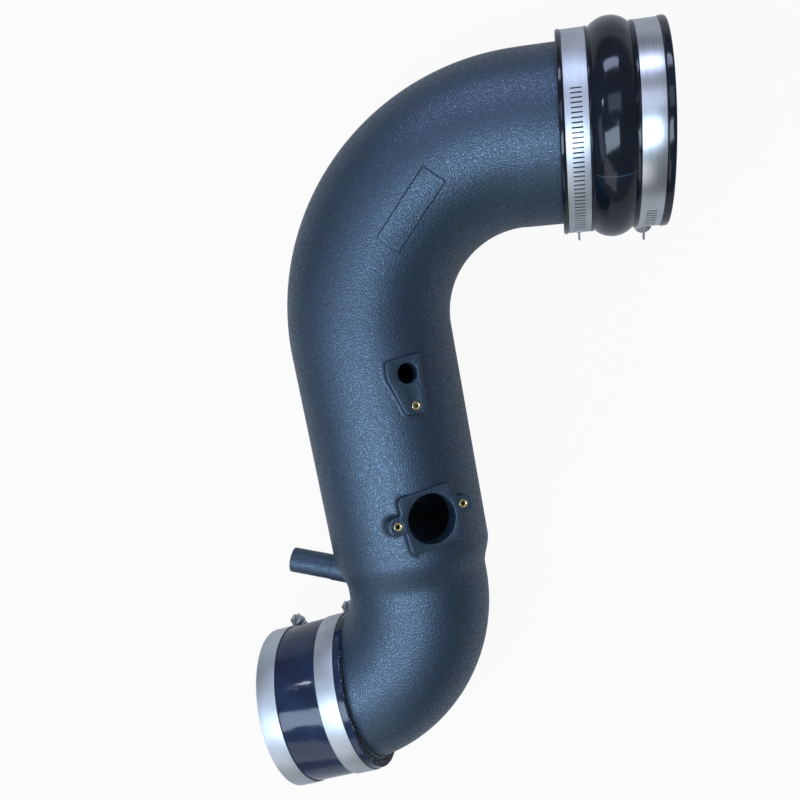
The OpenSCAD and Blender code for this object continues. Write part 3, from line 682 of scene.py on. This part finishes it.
def screwMesh(radius, lift):
    """Worm screw along Y: shank, collar, slotted hexagon head."""
    bm = bmesh.new()
    level = radius + clamp["thick"] + clamp["saddleThick"] + clamp["screwRadius"] + clamp["screwGap"] / 2 + lift
    half = clamp["housingLong"] / 2
    along = shift(level) @ turn("X", -90)
    for r, low, high, steps in ((clamp["screwRadius"], -half - 1, half, 48), (clamp["screwRadius"] + 1.1, half, half + clamp["collar"], 48),
                                (clamp["headAcross"] / 2 / math.cos(math.radians(30)), half + clamp["collar"],
                                 half + clamp["collar"] + clamp["headLong"], 6)):
        made = bmesh.ops.create_cone(bm, cap_ends=True, segments=steps, radius1=r, radius2=r, depth=high - low,
                                     matrix=along @ shift(z=(low + high) / 2))
        edges = list({e for v in made["verts"] for e in v.link_edges if len(e.link_faces) == 2 and e.calc_face_angle(0) > 0.6})
        bmesh.ops.bevel(bm, geom=edges, offset=0.35, offset_type="OFFSET", affect="EDGES", segments=2, profile=0.5, material=-1)
    return bm, level, half + clamp["collar"] + clamp["headLong"]


def housingMesh(radius):
    """Pressed tunnel over the screw, on two feet."""
    bm = bmesh.new()
    base = radius + clamp["thick"] + clamp["saddleThick"]
    level = base + clamp["screwRadius"] + clamp["screwGap"] / 2
    outer, half = clamp["housingRadius"], clamp["width"] / 2
    steps = [(base + 0.1, -half)] + [(base + 1.1, -half), (base + 1.1, -outer)]
    arc = [(level + outer * math.sin(a), -outer * math.cos(a)) for a in [math.pi * i / 14 for i in range(15)]]
    steps += arc + [(base + 1.1, outer), (base + 1.1, half), (base + 0.1, half)]
    verts = [bm.verts.new((x, -clamp["housingLong"] / 2, z)) for x, z in steps]
    edges = [bm.edges.new(pair) for pair in zip(verts, verts[1:])]
    result = bmesh.ops.extrude_edge_only(bm, edges=edges)
    bmesh.ops.translate(bm, vec=(0, clamp["housingLong"], 0), verts=newVerts(result))
    bmesh.ops.recalc_face_normals(bm, faces=bm.faces[:])
    if max(bm.faces, key=lambda f: f.calc_center_median().x).normal.x < 0:
        bmesh.ops.reverse_faces(bm, faces=bm.faces[:])
    bmesh.ops.solidify(bm, geom=bm.faces[:], thickness=0.8)
    return bm


clamps = {
    "airbox": dict(seat=hump["seat"], frame=inletFrame, at=hump["pitch"] + 6.35, spin=217.5, over=True, run=22, tail=60, lift=0.0, steel=brightSteel,
                   slot="band_bright"),
    "inlet": dict(seat=hump["seat"], frame=inletFrame, at=6.35, spin=223.5, over=True, run=54, tail=40, lift=0.0, steel=upperSteel, slot="band_steel"),
    "elbow": dict(seat=lower["outer"], frame=outletFrame, at=46.35, spin=-49, over=False, run=0, tail=70, lift=1.6, steel=lowerSteel,
                  slot="band_steel"),
    "throttle": dict(seat=lower["outer"], frame=outletFrame, at=6.35, spin=-49, over=False, run=0, tail=70, lift=1.6, steel=lowerSteel,
                     slot="band_steel"),
}
for name, c in clamps.items():
    place = c["frame"] @ shift(z=c["at"]) @ turn("Z", c["spin"]) @ (turn("X", 180) if c["over"] else Matrix.Identity(4))
    radius = c["seat"] + clamp["gap"]
    step = math.degrees(clamp["slotPitch"] / radius)
    band = meshPiece(name + "Band", bandRing(radius), place)
    if c["run"]:
        cutBy(band, slotCutter("cut", [clamp["saddleHalf"] + 1.5 + (i + 0.5) * step for i in range(c["run"])], radius, place))
    finishPiece(band, c["steel"], [name + "_clamp_band"], 35)
    tail = meshPiece(name + "BandTail", tailStrip(radius + clamp["thick"] + 0.02, -clamp["saddleHalf"] - c["tail"], -clamp["saddleHalf"] + 3), place)
    count = int((c["tail"] - 6) / step)
    cutBy(tail, slotCutter("cut", [-clamp["saddleHalf"] - 2 - (i + 0.5) * step for i in range(count)], radius + clamp["thick"], place))
    finishPiece(tail, c["steel"], smoothAngle=35)
    saddle = meshPiece(name + "Saddle", tailStrip(radius + clamp["thick"], -clamp["saddleHalf"], clamp["saddleHalf"]), place)
    finishPiece(saddle, zinc, [name + "_clamp_saddle"], 35)
    finishPiece(meshPiece(name + "Housing", housingMesh(radius), place), zinc, [name + "_clamp_housing"], 40)
    screw, level, tip = screwMesh(radius, c["lift"])
    screwPiece = meshPiece(name + "Screw", screw, place)
    blade = bmesh.new()
    bmesh.ops.create_cube(blade, size=1.0, matrix=shift(level, tip, 0) @ Matrix.Diagonal((12, 3.2, 1.2, 1)))
    cutBy(screwPiece, meshPiece("cut", blade, place))
    finishPiece(screwPiece, zinc, [name + "_clamp_screw"], 35)
print("clamps are fitted")
